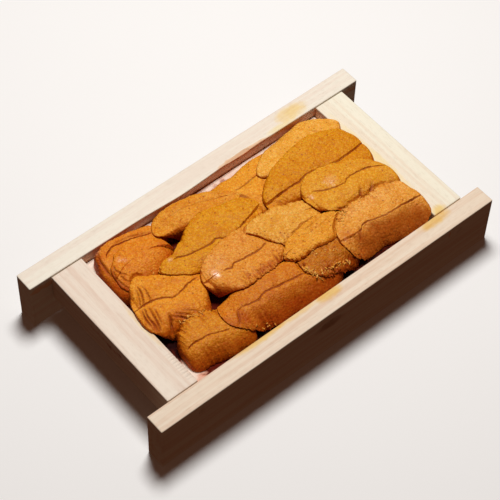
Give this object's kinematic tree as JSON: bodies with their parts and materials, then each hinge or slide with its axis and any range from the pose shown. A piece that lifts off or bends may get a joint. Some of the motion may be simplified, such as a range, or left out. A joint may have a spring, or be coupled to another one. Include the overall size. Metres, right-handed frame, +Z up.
{
  "type": "sea urchin roe tray",
  "caption": "Low pale wooden tray on two side rails, filled level with overlapping orange tongues of raw sea urchin roe.",
  "frame": {"origin": "centre of the tray seen from above, at the level of the side rails' feet", "axes": "+X along the side rails, +Y towards the back rail, +Z up"},
  "size_m": [0.172, 0.0918, 0.0308],
  "materials": {
    "tray_wood": "bare planed softwood, pale cream",
    "floor_wood": "bare planed softwood, stained by roe",
    "roe_orange": "moist, finely pebbled, orange",
    "roe_ochre": "moist, finely pebbled, ochre yellow",
    "roe_deep": "moist, finely pebbled, deep orange",
    "roe_pale": "moist, finely pebbled, pale peach orange"
  },
  "bodies": {
    "root": {"rail_front": "tray_wood", "rail_back": "tray_wood", "end_rail_left": "tray_wood", "end_rail_right": "tray_wood", "floor_board": "floor_wood", "roe_back_left": "roe_deep", "roe_back_middle": "roe_orange", "roe_back_inner_left": "roe_deep", "roe_back_centre": "roe_orange", "roe_mid_left": "roe_orange", "roe_long_centre": "roe_ochre", "roe_back_right": "roe_orange", "roe_long_right": "roe_ochre", "roe_front_left": "roe_orange", "roe_front_middle": "roe_deep", "roe_centre": "roe_orange", "roe_front_ragged": "roe_ochre", "roe_centre_right": "roe_pale", "roe_inner_right": "roe_pale", "roe_mid_right": "roe_pale", "roe_front_right": "roe_orange"}
  },
  "joints": []
}
